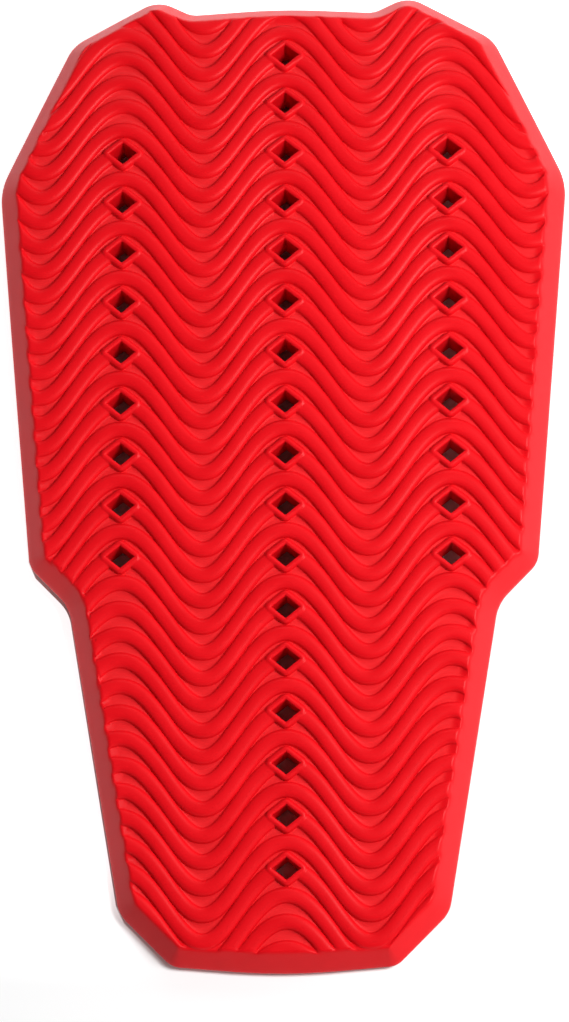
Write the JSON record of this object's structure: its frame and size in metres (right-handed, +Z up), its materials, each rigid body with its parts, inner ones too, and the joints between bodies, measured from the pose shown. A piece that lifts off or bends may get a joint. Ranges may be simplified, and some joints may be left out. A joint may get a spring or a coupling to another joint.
{
  "type": "back protector insert",
  "caption": "Shield-shaped moulded foam-rubber back protector insert with a wave-ribbed outer face, a sloped rim and diamond vents in raised collars.",
  "frame": {"origin": "centre of the bounding box at the surface that the pad lies on", "axes": "+Z up, from the inner face to the ribbed outer face; +Y along the pad towards its neck end; +X across the pad"},
  "size_m": [0.2614, 0.4542, 0.0249],
  "materials": {
    "foam_rubber": "matt red moulded foam rubber"
  },
  "bodies": {
    "root": {"protector_pad": "foam_rubber"}
  },
  "joints": []
}
